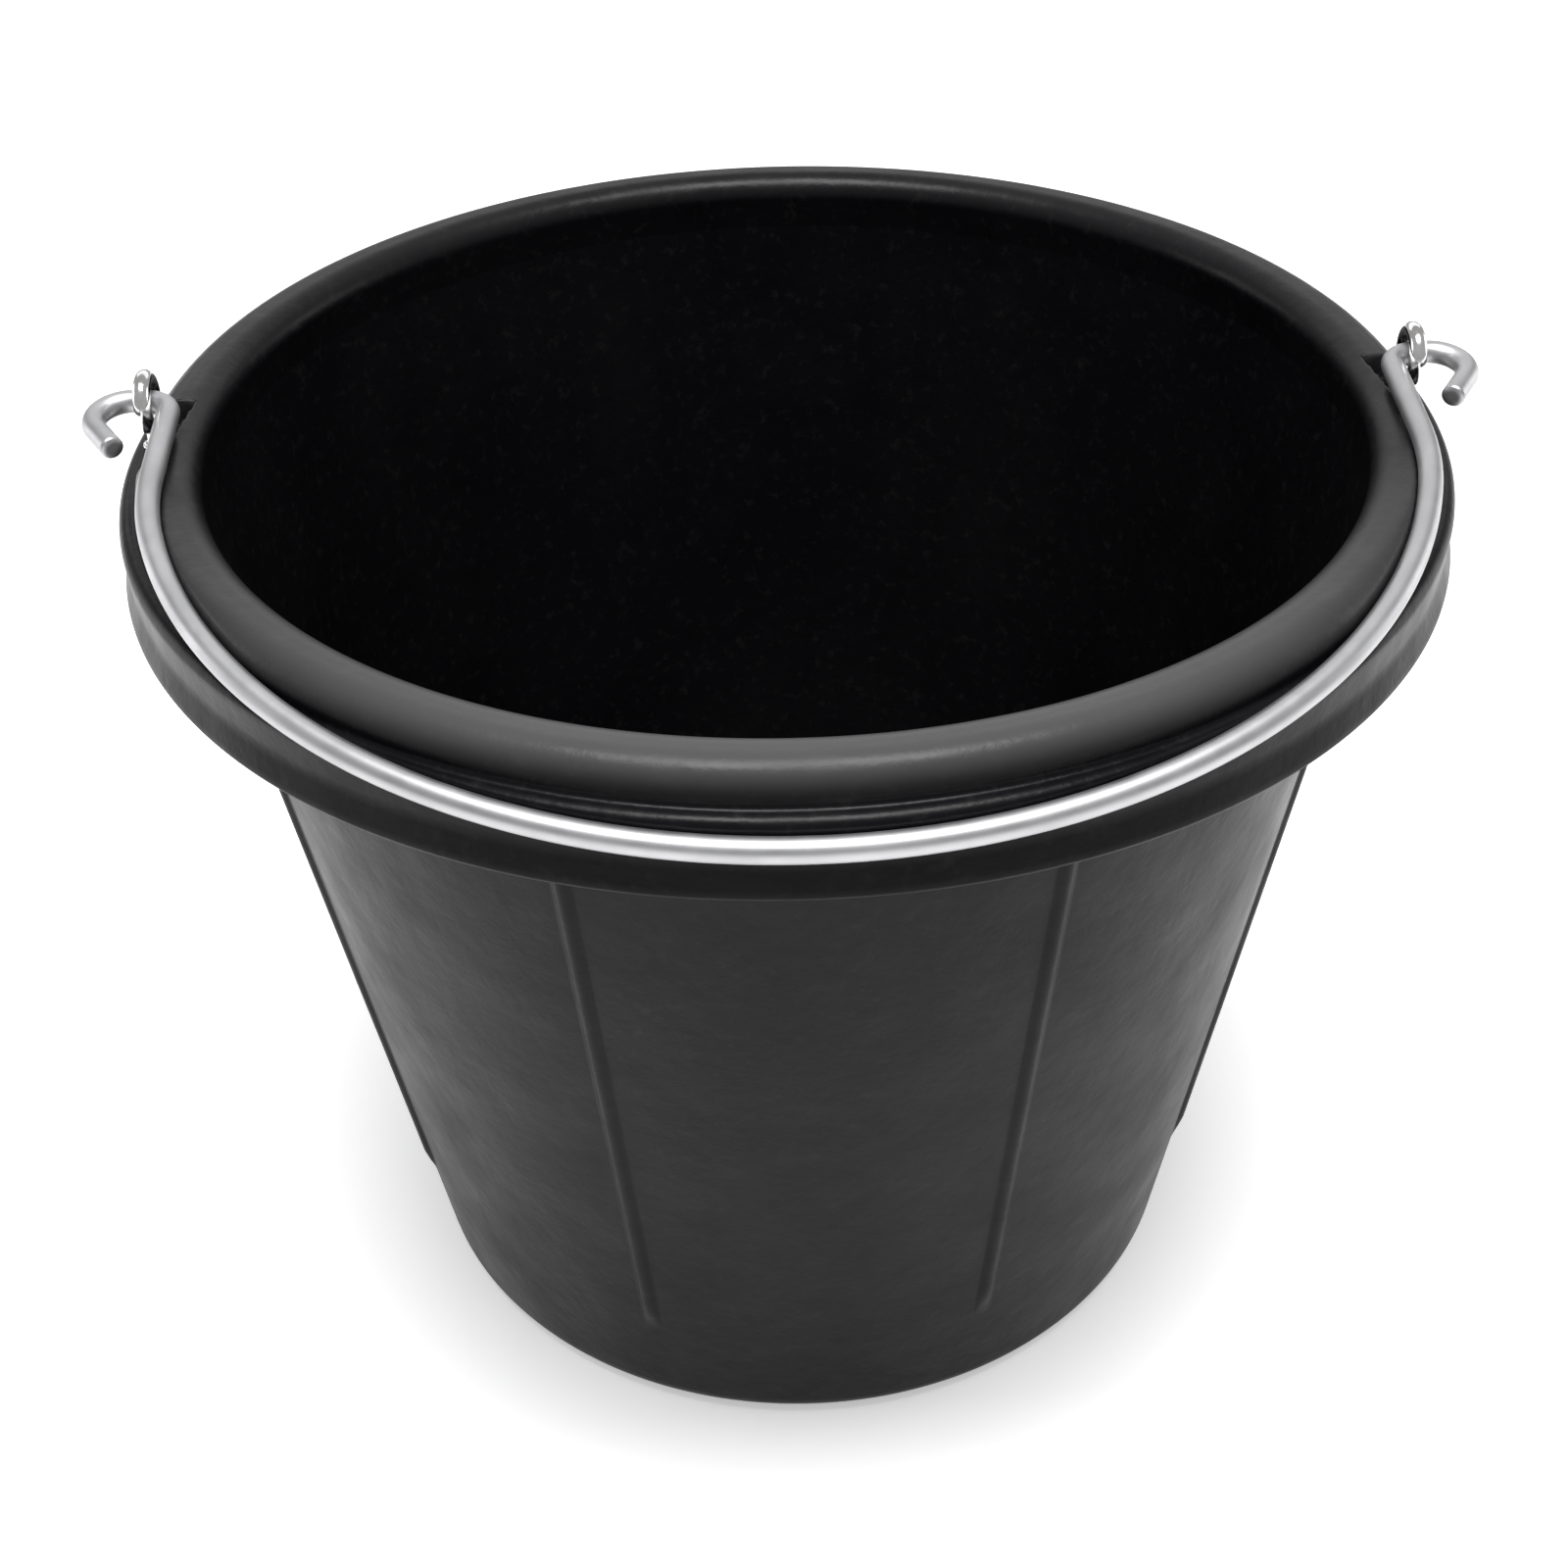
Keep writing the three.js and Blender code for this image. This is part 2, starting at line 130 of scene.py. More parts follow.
# Eye bolts and what holds them
CLEARANCE = 0.3 * MM
EYE_PLAY = 0.9 * MM
EYE_WIRE = 4.6 * MM
NECK = 3.4 * MM
COLLAR_RADIUS = 3.2 * MM
COLLAR_HEIGHT = 0.9 * MM
COLLAR_EDGE = 0.4 * MM
COLLAR_CHAMFER = 0.3 * MM
COLLAR_STEP = 0.5 * MM
SHANK = 4 * MM
SHANK_CHAMFER = 0.4 * MM
THREAD_PITCH = 0.7 * MM
THREAD_DEPTH = 0.35 * MM
SEAT_RISE = 2.5 * MM
NOTCH_ROOM = 4 * MM
NOTCH_FRONT = 20 * MM
NOTCH_SLANT = 4 * MM
NOTCH_WALL = 1.0 * MM
WASHER_RADIUS = 4.5 * MM
WASHER_THICKNESS = 1 * MM
WASHER_EDGE = 0.15 * MM
NUT_FLATS = 7 * MM
NUT_HEIGHT = 3.2 * MM
NUT_ROOM = 0.7 * MM
NUT_BORE_CHAMFER = 0.4 * MM
NUT_END_SHARE = 0.97  # radius of a nut's end, as a share of half its flats
NUT_CONE_SLOPE = 1.7  # growth of the cutting cone for each unit towards the middle

EYE_RADIUS = WIRE / 2 + EYE_PLAY + EYE_WIRE / 2
SEAT_Z = LEDGE_Z + SEAT_RISE
LEG_X = EYE_OFFSET - EYE_WIRE / 2 - WIRE / 2 - SIDE_PLAY
BOW_RADIUS = LEG_X + BOW_SPREAD
NOTCH_INSIDE = LEG_X - WIRE / 2 - CLEARANCE
NOTCH_BACK = EYE_RADIUS + EYE_WIRE / 2 + NOTCH_ROOM
WASHER_Z = CHANNEL_ROOF_Z - CLEARANCE - WASHER_THICKNESS
NUT_Z = WASHER_Z - CLEARANCE - NUT_HEIGHT

# The bail's rest: how far its bow reaches, and how far it dips in front
REST_Y = LEDGE_RADIUS + WIRE / 2 + 2 * CLEARANCE
REST_Z = LEDGE_Z - REST_DROP
BAIL_REACH = math.hypot(REST_Y, PIVOT_Z - REST_Z)
BAIL_DIP = math.atan2(PIVOT_Z - REST_Z, REST_Y)

# Fineness of the meshes
GROOVE_BATCH = 4000   # points compared with the bail's centre line at a time
RIM_STEP = 1.6 * MM
CROWN_STEP = 0.45 * MM
BOW_STEPS = 240
WIRE_SIDES = 40
LOOP_SIDES = 96
COLLAR_SIDES = 48
THREAD_SIDES = 48
THREAD_ROWS = 10      # rows of points for each turn of the thread
WASHER_SIDES = 72
NUT_SIDES = 144
NUT_ROWS = 33
FORGING_VOXEL = 0.22 * MM
FORGING_SMOOTHING = 8
EYE_COLUMNS = (9, 0.15)       # degrees on each side of an eye, and degrees between columns
RIB_COLUMNS = (2.4, 0.2)      # the same for a rib
GROOVE_COLUMNS = (48, 0.45)   # and for the part of the groove near an eye
PLAIN_COLUMNS = 0.9

# Crown rubber: rubbed smoother than the wall, and a painted highlight that makes the crown paler,
# most at the front
RIM_SHINE = 0.08      # how much smoother than the wall the rim has been rubbed
# colour of the painted highlight on the crown
PAINTED_HIGHLIGHT_RUBBER = (0.07, 0.07, 0.071)
HIGHLIGHT_FRONT_Y = -0.15  # in front of this Y the crown is palest
HIGHLIGHT_BACK_Y = -0.04   # behind this Y it is least pale

# Stage
FLOOR_REACH = 6
FLOOR_GLOW = 0.4
SURROUND_STRENGTH = 0.4
LIGHT_AIM = (0, 0, 0.15)

# Camera
CAMERA_AZIMUTH = math.radians(-1.7)
CAMERA_ELEVATION = math.radians(36.0)
CAMERA_DISTANCE = 0.6971
CAMERA_ROLL = math.radians(1.43)
CAMERA_LENS = 54.24
CAMERA_TARGET = (-0.0025, 0, 0.1422)

# ---------------------------------------------------------------------------
# Small geometry tools
# ---------------------------------------------------------------------------


def arc(centre_x, centre_y, radius, start, end, steps):
    """Points of an arc in a plane, from one angle to another in degrees."""
    angles = np.radians(np.linspace(start, end, steps + 1))
    return [(centre_x + radius * math.cos(angle), centre_y + radius * math.sin(angle))
            for angle in angles]


def line(start, end, steps):
    """Points between two ends, without the ends themselves."""
    shares = np.linspace(0, 1, steps + 1)[1:-1]
    return [(start[0] + (end[0] - start[0]) * share, start[1] + (end[1] - start[1]) * share)
            for share in shares]


def joined(*parts, step):
    """Point lists end to end, with the gaps between them filled at about this step."""
    points = list(parts[0])
    for part in parts[1:]:
        gap = math.dist(points[-1], part[0])
        points += line(points[-1], part[0], max(1, round(gap / step)))
        points += part if gap > COINCIDENT else part[1:]
    return points


def smooth_step(value):
    """0 below 0, 1 above 1 and a smooth rise between them."""
    t = np.clip(value, 0, 1)
    return t * t * (3 - 2 * t)


def soft_min(a, b, width):
    """The smaller of two values, with a rounded change from one to the other."""
    blend = np.clip(0.5 + (b - a) / (2 * width), 0, 1)
    return b + (a - b) * blend - width * blend * (1 - blend)


def mesh_piece(name, vertices, faces, body, nodes, slot, material):
    """A smooth-shaded piece that stands for CAD nodes and rides on a body."""
    mesh = bpy.data.meshes.new(name)
    mesh.from_pydata([tuple(v) for v in vertices], [], faces)
    mesh.validate()
    mesh.update()
    mesh.shade_smooth()
    piece = bpy.data.objects.new(name, mesh)
    bpy.context.scene.collection.objects.link(piece)
    mesh.materials.append(material)
    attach(piece, body)
    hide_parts(*nodes)
    return piece


def grid_faces(rows, columns, wrap_rows, wrap_columns):
    """Quads over a grid of points that are numbered row by row."""
    faces = []
    for row in range(rows if wrap_rows else rows - 1):
        upper = (row + 1) % rows
        for column in range(columns if wrap_columns else columns - 1):
            beside = (column + 1) % columns
            faces.append((row * columns + column, row * columns + beside,
                          upper * columns + beside, upper * columns + column))
    return faces


def turned(profile, sides):
    """A closed profile of radius and height, turned about Z: points and quads."""
    angles = np.linspace(0, 2 * math.pi, sides, endpoint=False)
    points = [(r * math.cos(a), r * math.sin(a), z) for r, z in profile for a in angles]
    return np.array(points), grid_faces(len(profile), sides, True, True)


def merged(*shapes):
    """Several shapes' points and faces as one."""
    points = []
    faces = []
    for shape_points, shape_faces in shapes:
        start = len(points)
        points += [tuple(p) for p in shape_points]
        faces += [tuple(start + index for index in face) for face in shape_faces]
    return np.array(points), faces


# ---------------------------------------------------------------------------
# Bail: its centre line, drawn flat with the pivot line on X
# ---------------------------------------------------------------------------


def bend(before, corner, after, radius, step):
    """A rounded corner between two straights, as the arc's points."""
    before, corner, after = (np.array(p, float) for p in (before, corner, after))
    arriving = (corner - before) / np.linalg.norm(corner - before)
    leaving = (after - corner) / np.linalg.norm(after - corner)
    turn = math.acos(float(np.clip(arriving @ leaving, -1, 1)))
    start = corner - arriving * radius * math.tan(turn / 2)
    inward = leaving - arriving * (arriving @ leaving)
    inward /= np.linalg.norm(inward)
    angles = np.linspace(0, turn, max(2, math.ceil(turn / step)) + 1)
    return [tuple(start + arriving * radius * math.sin(a) + inward * radius * (1 - math.cos(a)))
            for a in angles]


def bow_point(angle):
    """A point of the bow's circle, by its angle in front of the X direction."""
    centre_y = BOW_RADIUS - BAIL_REACH
    return (BOW_RADIUS * math.cos(angle), centre_y - BOW_RADIUS * math.sin(angle))


def hook_points():
    """The right-hand cut end, the hook and the straight up to the eye."""
    out_x, out_y = math.cos(EYE_RAKE), math.sin(EYE_RAKE)
    centre_x = EYE_OFFSET + HOOK_NECK * out_x + HOOK_BEND * out_y
    centre_y = HOOK_NECK * out_y - HOOK_BEND * out_x
    first = 90 + math.degrees(EYE_RAKE)
    points = arc(centre_x, centre_y, HOOK_BEND, first, first - math.degrees(HOOK_TURN), 40)
    end_angle = EYE_RAKE - HOOK_TURN
    cut_end = (points[-1][0] + HOOK_TAIL * math.cos(end_angle),
               points[-1][1] + HOOK_TAIL * math.sin(end_angle))
    return [cut_end] + line(cut_end, points[-1], 8) + points[::-1]


def leg_points():
    """The bend inside the eye, the straight leg and the easy bend into the bow."""
    bow_start = bow_point(BOW_START)
    eye_corner = (LEG_X, (LEG_X - EYE_OFFSET) * math.tan(EYE_RAKE))
    bow_corner = (LEG_X, bow_start[1] + (LEG_X - bow_start[0]) / math.tan(BOW_START))
    ease = math.dist(bow_corner, bow_start) / math.tan(BOW_START / 2)
    inner = bend((EYE_OFFSET, 0), eye_corner, bow_corner, EYE_BEND, math.radians(4))
    easy = bend(eye_corner, bow_corner, bow_start, ease, math.radians(1))
    return inner + line(inner[-1], easy[0], 12) + easy


def bail_centre_line():
    """The whole wire, from the right-hand cut end round to the left-hand one."""
    right = hook_points() + leg_points()
    sweep = np.linspace(BOW_START, math.pi - BOW_START, BOW_STEPS + 1)[1:-1]
    left = [(-x, y) for x, y in reversed(right)]
    return np.array(right + [bow_point(a) for a in sweep] + left)


def bail_to_row(points):
    """Points in the bail's own plane (x, y, height above it) to where the bail rests."""
    tip = Matrix.Rotation(BAIL_DIP, 3, "X")
    return np.asarray(points) @ np.array(tip).T + np.array([0, 0, PIVOT_Z])


def row_to_bail(points):
    """The other way round: points of the row in the bail's own plane."""
    tip = Matrix.Rotation(-BAIL_DIP, 3, "X")
    return (np.asarray(points) - np.array([0, 0, PIVOT_Z])) @ np.array(tip).T


def bail_shape():
    """The wire swept along its centre line, with chamfered cut ends."""
    path = bail_centre_line()
    along = np.gradient(path, axis=0)
    along /= np.linalg.norm(along, axis=1)[:, None]
    radii = np.full(len(path), WIRE / 2)
    start, end = path[0], path[-1]
    path = np.vstack([start, start, start + along[0] * CUT_CHAMFER, path[1:-1],
                      end - along[-1] * CUT_CHAMFER, end, end])
    along = np.vstack([along[0], along[0], along, along[-1], along[-1]])
    cut_face = WIRE / 2 - CUT_CHAMFER
    radii = np.concatenate([[cut_face / 2, cut_face], radii, [cut_face, cut_face / 2]])
    turn = np.linspace(0, 2 * math.pi, WIRE_SIDES, endpoint=False)
    beside = np.stack([along[:, 1], -along[:, 0]], axis=1)
    sideways = radii[:, None] * np.cos(turn)[None, :]
    upwards = radii[:, None] * np.sin(turn)[None, :]
    rings = path[:, None, :] + sideways[:, :, None] * beside[:, None, :]
    points = np.concatenate([rings, upwards[:, :, None]], axis=2).reshape(-1, 3)
    faces = grid_faces(len(path), WIRE_SIDES, False, True)
    faces.append(tuple(range(WIRE_SIDES))[::-1])
    last = (len(path) - 1) * WIRE_SIDES
    faces.append(tuple(range(last, last + WIRE_SIDES)))
    return bail_to_row(points), faces


# ---------------------------------------------------------------------------
# Bucket body
# ---------------------------------------------------------------------------


def wall_outside(z):
    """Outside radius of the plain wall at a height."""
    return BASE_RADIUS + WALL_SLOPE * z


def corner_inset(radius):
    """Distance from a floor corner to the centre of its rounding."""
    lean = math.atan(WALL_SLOPE)
    return radius * (1 / math.cos(lean) - math.tan(lean))


def outside_profile():
    """Underside, wall, open channel, skirt and ledge, from the axis outwards."""
    lean = math.degrees(math.atan(WALL_SLOPE))
    roof_x = wall_outside(CHANNEL_ROOF_Z)
    skirt_x = LEDGE_RADIUS - SKIRT_WALL
    foot_x = RIM_RADIUS - SKIRT_ROUND
    fillet_z = CHANNEL_ROOF_Z - CHANNEL_FILLET
    waist = (LEDGE_RADIUS - SKIRT_WAIST, (SKIRT_FOOT_Z + LEDGE_Z - LEDGE_EDGE) / 2)
    base = arc(BASE_RADIUS - corner_inset(BASE_CORNER), BASE_CORNER, BASE_CORNER, -90, -lean, 12)
    roof_in = arc(roof_x + CHANNEL_FILLET, fillet_z, CHANNEL_FILLET, 180, 90, 5)
    roof_out = arc(skirt_x - CHANNEL_FILLET, fillet_z, CHANNEL_FILLET, 90, 0, 5)
    foot_in = [(foot_x - SKIRT_WALL + SKIRT_ROUND, SKIRT_FOOT_Z)]
    foot = arc(foot_x, SKIRT_FOOT_Z + SKIRT_ROUND, SKIRT_ROUND, -90, 0, 6)
    edge = arc(LEDGE_RADIUS - LEDGE_EDGE, LEDGE_Z - LEDGE_EDGE, LEDGE_EDGE, 0, 90, 12)
    wall = joined([(CAP_RADIUS, 0)], base, step=18 * MM)
    wall = joined(wall, roof_in, step=4 * MM)
    channel = joined(roof_in[-1:], roof_out, foot_in, foot, step=RIM_STEP)[1:]
    skirt = joined(foot[-1:], [waist], edge, step=RIM_STEP)[1:]
    return wall + channel + skirt


def crown_profile():
    """The rolled crown, from just after the ledge over the top to the inside wall."""
    shoulder_x = CROWN_OUTSIDE - CROWN_SHOULDER
    fillet_x = CROWN_OUTSIDE + CROWN_FILLET
    fillet = arc(fillet_x, LEDGE_Z + CROWN_FILLET, CROWN_FILLET, 270, 180, 6)
    shoulder = arc(shoulder_x, CROWN_HEIGHT - CROWN_SHOULDER, CROWN_SHOULDER, 0, 90, 20)
    lip = arc(CROWN_INSIDE + CROWN_LIP, CROWN_HEIGHT - CROWN_LIP, CROWN_LIP, 90, 180, 20)
    return joined(fillet[1:], shoulder, lip, [(CROWN_INSIDE, NECK_Z)], step=CROWN_STEP)


def inside_profile():
    """The inside wall and the floor, down and in to the axis."""
    lean = math.degrees(math.atan(WALL_SLOPE))
    corner_x = wall_outside(FLOOR) - WALL - corner_inset(FLOOR_CORNER)
    corner = arc(corner_x, FLOOR + FLOOR_CORNER, FLOOR_CORNER, -lean, -90, 10)
    return joined(corner, [(CAP_RADIUS, FLOOR)], step=15 * MM)


def column_angles():
    """Where the columns stand: close together at the notches, the groove and the ribs."""
    rib_spacing = 360 / RIB_COUNT
    angle = 0.0
    angles = []
    while angle < 360 - TINY:
        angles.append(angle)
        from_eye = abs((angle + 90) % 180 - 90)
        from_rib = abs(angle % rib_spacing - rib_spacing / 2)
        in_front = angle > 180
        if from_eye < EYE_COLUMNS[0]:
            angle += EYE_COLUMNS[1]
        elif from_rib < RIB_COLUMNS[0]:
            angle += RIB_COLUMNS[1]
        elif in_front and from_eye < GROOVE_COLUMNS[0]:
            angle += GROOVE_COLUMNS[1]
        else:
            angle += PLAIN_COLUMNS
    return np.radians(np.array(angles))


def raise_ribs(radius, z, angles):
    """Radii with the ribs added on the outside of the wall."""
    spacing = 2 * math.pi / RIB_COUNT
    offset = (angles % spacing - spacing / 2)[None, :] * radius
    bar = (RIB_WIDTH**2 / 4 + RIB_HEIGHT**2) / (2 * RIB_HEIGHT)
    section = np.sqrt(np.maximum(bar**2 - offset**2, 0)) - (bar - RIB_HEIGHT)
    height = -soft_min(-section, np.zeros_like(section), RIB_BLEND)
    return radius + height * smooth_step((z - RIB_FOOT) / RIB_FADE)


def cut_notches(points):
    """Lowers the crown to the seat inside the two notches, with slightly sloping walls."""
    x = np.abs(points[:, 0])
    y = points[:, 1]
    slant = NOTCH_SLANT * np.clip((NOTCH_BACK - y) / (NOTCH_BACK + NOTCH_FRONT), 0, 1)
    from_ends = np.minimum(NOTCH_BACK - y, y + NOTCH_FRONT)
    inside = np.minimum(x - (NOTCH_INSIDE + slant), from_ends)
    depth = smooth_step(inside / NOTCH_WALL)
    above = np.maximum(points[:, 2] - SEAT_Z, 0)
    points[:, 2] -= above * depth


def press_groove(points):
    """Presses the resting wire's groove into the crown and the ledge."""
    local = row_to_bail(points)
    reach = WIRE / 2 + CLEARANCE
    path = bail_centre_line()
    path = path[path[:, 1] < -EYE_BEND]
    above_foot = points[:, 2] > SKIRT_FOOT_Z + SKIRT_ROUND
    near = (local[:, 1] < 0) & (local[:, 2] > -2 * WIRE) & above_foot
    chosen = np.flatnonzero(near)
    across = np.full(len(points), RIM_RADIUS)
    for start in range(0, len(chosen), GROOVE_BATCH):
        some = chosen[start:start + GROOVE_BATCH]
        gaps = np.linalg.norm(local[some, None, :2] - path[None, :, :], axis=2)
        across[some] = gaps.min(axis=1)
    inside = np.sqrt(np.maximum(reach**2 - np.minimum(across, reach) ** 2, 0))
    limit = -inside + np.maximum(across - reach, 0) * GROOVE_WALL
    pressed = soft_min(local[:, 2], limit, GROOVE_EDGE)
    changed = near & (across < reach + 2 * WIRE / GROOVE_WALL) & (pressed < local[:, 2])
    local[changed, 2] = pressed[changed]
    points[changed] = bail_to_row(local[changed])


def relieve_channel(points):
    """Room for the washers, where the channel is narrower than they are."""
    room = WASHER_RADIUS + NUT_ROOM
    margin = 0.1 * MM
    above_foot = points[:, 2] > SKIRT_FOOT_Z + SKIRT_ROUND
    under = (points[:, 2] < CHANNEL_ROOF_Z + margin) & above_foot
    for side in (-1, 1):
        away = points[:, :2] - np.array([side * EYE_OFFSET, 0])
        distance = np.linalg.norm(away, axis=1)
        inner_face = np.linalg.norm(points[:, :2], axis=1) < LEDGE_RADIUS - SKIRT_WALL / 2
        outer_side = side * away[:, 0] > 0
        tight = under & inner_face & outer_side & (distance < room)
        points[tight, :2] += away[tight] / distance[tight, None] * (room - distance[tight])[:, None]


def bucket_shape():
    """The moulding as one closed skin, with a cap at each end of the profile."""
    outside = outside_profile()
    profile = np.array(outside + crown_profile() + inside_profile())
    angles = column_angles()
    radius = np.repeat(profile[:, 0:1], len(angles), axis=1)
    z = np.repeat(profile[:, 1:2], len(angles), axis=1)
    on_wall = np.zeros(len(profile), bool)
    on_wall[:len(outside)] = profile[:len(outside), 0] < wall_outside(CHANNEL_ROOF_Z) + TINY
    radius[on_wall] = raise_ribs(radius[on_wall], z[on_wall], angles)
    points = np.stack([radius * np.cos(angles), radius * np.sin(angles), z], axis=2)
    points = points.reshape(-1, 3)
    cut_notches(points)
    press_groove(points)
    relieve_channel(points)
    rows, columns = radius.shape
    faces = grid_faces(rows, columns, False, True)
    faces.append(tuple(range(columns))[::-1])
    faces.append(tuple(range((rows - 1) * columns, rows * columns)))
    return points, faces


# ---------------------------------------------------------------------------
# Eye bolts, washers and nuts, drawn on the Z axis
# ---------------------------------------------------------------------------


def threaded_rod(radius, bottom, top):
    """A rod with a helical thread and a chamfered foot."""
    sides = THREAD_SIDES
    rows = math.ceil((top - bottom) / (THREAD_PITCH / THREAD_ROWS))
    heights = np.linspace(bottom, top, rows + 1)
    angles = np.linspace(0, 2 * math.pi, sides, endpoint=False)
    turn = (heights[:, None] / THREAD_PITCH - angles[None, :] / (2 * math.pi)) % 1
    radii = radius - THREAD_DEPTH * np.abs(2 * turn - 1)
    foot = radius - THREAD_DEPTH - SHANK_CHAMFER + (heights - bottom)
    radii = np.minimum(radii, foot[:, None])
    z = np.repeat(heights[:, None], sides, axis=1)
    points = np.stack([radii * np.cos(angles), radii * np.sin(angles), z], axis=2)
    faces = grid_faces(rows + 1, sides, False, True)
    faces.append(tuple(range(sides))[::-1])
    faces.append(tuple(range(rows * sides, (rows + 1) * sides)))
    return points.reshape(-1, 3), faces


def loop_ring():
    """The eye's loop, standing in the plane of Y and Z."""
    profile = arc(EYE_RADIUS, 0, EYE_WIRE / 2, 0, 354, 59)
    points, faces = turned(profile, LOOP_SIDES)
    return points[:, [2, 0, 1]] + np.array([0, 0, PIVOT_Z]), faces


def neck_and_collar():
    """The neck below the loop, flaring into the collar that sits on the seat."""
    seat = SEAT_Z + CLEARANCE
    collar_top = seat + COLLAR_HEIGHT
    neck = NECK / 2
    neck_top = PIVOT_Z - EYE_RADIUS
    axis_gap = 0.05 * MM
    flare = COLLAR_RADIUS - neck - COLLAR_STEP
    edge_x = COLLAR_RADIUS - COLLAR_EDGE
    profile = [(axis_gap, seat), (COLLAR_RADIUS - COLLAR_CHAMFER, seat),
               (COLLAR_RADIUS, seat + COLLAR_CHAMFER)]
    profile += arc(edge_x, collar_top - COLLAR_EDGE, COLLAR_EDGE, 0, 90, 5)
    profile += arc(neck + flare, collar_top + flare, flare, 270, 180, 8)
    profile += [(neck, neck_top), (axis_gap, neck_top)]
    return turned(profile, COLLAR_SIDES)


def forged(shape, name):
    """Overlapping closed shapes grown into one skin with soft inside corners."""
    mesh = bpy.data.meshes.new(name)
    mesh.from_pydata([tuple(p) for p in shape[0]], [], shape[1])
    block = bpy.data.objects.new(name, mesh)
    bpy.context.scene.collection.objects.link(block)
    remesh = block.modifiers.new("skin", "REMESH")
    remesh.mode = "VOXEL"
    remesh.voxel_size = FORGING_VOXEL
    soften = block.modifiers.new("soften", "SMOOTH")
    soften.factor = 0.5
    soften.iterations = FORGING_SMOOTHING
    bpy.context.view_layer.update()
    ready = block.evaluated_get(bpy.context.evaluated_depsgraph_get())
    grown = ready.to_mesh()
    points = np.array([tuple(v.co) for v in grown.vertices])
    faces = [tuple(p.vertices) for p in grown.polygons]
    ready.to_mesh_clear()
    bpy.data.objects.remove(block)
    bpy.data.meshes.remove(mesh)
    return points, faces


def eye_bolt_shape():
    """Loop, neck and collar as one forging, with the threaded shank below it."""
    forging = forged(merged(loop_ring(), neck_and_collar()), "forging")
    shank = threaded_rod(SHANK / 2, SHANK_FOOT_Z, SEAT_Z + CLEARANCE + COLLAR_HEIGHT / 2)
    return merged(forging, shank)


def washer_shape():
    """A flat washer with slightly rounded edges."""
    bore = SHANK / 2 + CLEARANCE
    edge = WASHER_EDGE
    top = WASHER_Z + WASHER_THICKNESS
    profile = arc(WASHER_RADIUS - edge, WASHER_Z + edge, edge, -90, 0, 3)
    profile += arc(WASHER_RADIUS - edge, top - edge, edge, 0, 90, 3)
    profile += arc(bore + edge, top - edge, edge, 90, 180, 3)
    profile += arc(bore + edge, WASHER_Z + edge, edge, 180, 270, 3)
    return turned(profile, WASHER_SIDES)


def nut_shape():
    """A hexagon nut: the corners are cut by a cone at each end, and the bore is chamfered."""
    bore = SHANK / 2 + CLEARANCE
    chamfer = NUT_BORE_CHAMFER
    middle = NUT_Z + NUT_HEIGHT / 2
    half = NUT_HEIGHT / 2
    angles = np.linspace(0, 2 * math.pi, NUT_SIDES, endpoint=False)
    hexagon = NUT_FLATS / 2 / np.cos((angles + math.pi / 6) % (math.pi / 3) - math.pi / 6)
    rows = []
    for share in np.linspace(-1, 1, NUT_ROWS):
        cone = NUT_FLATS / 2 * NUT_END_SHARE + (half - abs(share) * half) * NUT_CONE_SLOPE
        rows.append((np.minimum(hexagon, cone), middle + share * half))
    for radius, height in ((bore + chamfer, half), (bore, half - chamfer),
                           (bore, -half + chamfer), (bore + chamfer, -half)):
        rows.append((np.full(NUT_SIDES, radius), middle + height))
    points = [(radius * math.cos(angle), radius * math.sin(angle), z)
              for radii, z in rows for radius, angle in zip(radii, angles)]
    return np.array(points), grid_faces(len(rows), NUT_SIDES, True, True)


# ---------------------------------------------------------------------------
# Materials
# ---------------------------------------------------------------------------


def new_material(name, **sockets):
    """A material with one surface shader, and values set on the shader's own sockets."""
    material = bpy.data.materials.new(name)
    material.use_nodes = True
    shader = material.node_tree.nodes["Principled BSDF"]
    for socket, value in sockets.items():
        shader.inputs[socket.replace("_", " ")].default_value = value
    return material, material.node_tree, shader


def noise(tree, scale, detail, stretch=(1, 1, 1), roughness=0.55):
    """A noise pattern in the object's own space, stretched along its axes."""
    place = tree.nodes.new("ShaderNodeTexCoord")
    mapping = tree.nodes.new("ShaderNodeMapping")
    mapping.inputs["Scale"].default_value = stretch
    pattern = tree.nodes.new("ShaderNodeTexNoise")
    pattern.inputs["Scale"].default_value = scale
    pattern.inputs["Detail"].default_value = detail
    pattern.inputs["Roughness"].default_value = roughness
    tree.links.new(place.outputs["Object"], mapping.inputs["Vector"])
    tree.links.new(mapping.outputs["Vector"], pattern.inputs["Vector"])
    return pattern.outputs["Fac"]


def ramp(tree, source, *stops):
    """Colours placed along a value."""
    node = tree.nodes.new("ShaderNodeValToRGB")
    elements = node.color_ramp.elements
    while len(elements) < len(stops):
        elements.new(0.5)
    for element, (position, colour) in zip(elements, stops):
        element.position = position
        element.color = (*colour, 1)
    tree.links.new(source, node.inputs["Fac"])
    return node.outputs["Color"]


def spread(tree, source, low, high, from_low=0.3, from_high=0.7):
    """A pattern's values brought to another range."""
    node = tree.nodes.new("ShaderNodeMapRange")
    node.inputs["From Min"].default_value = from_low
    node.inputs["From Max"].default_value = from_high
    node.inputs["To Min"].default_value = low
    node.inputs["To Max"].default_value = high
    tree.links.new(source, node.inputs["Value"])
    return node.outputs["Result"]


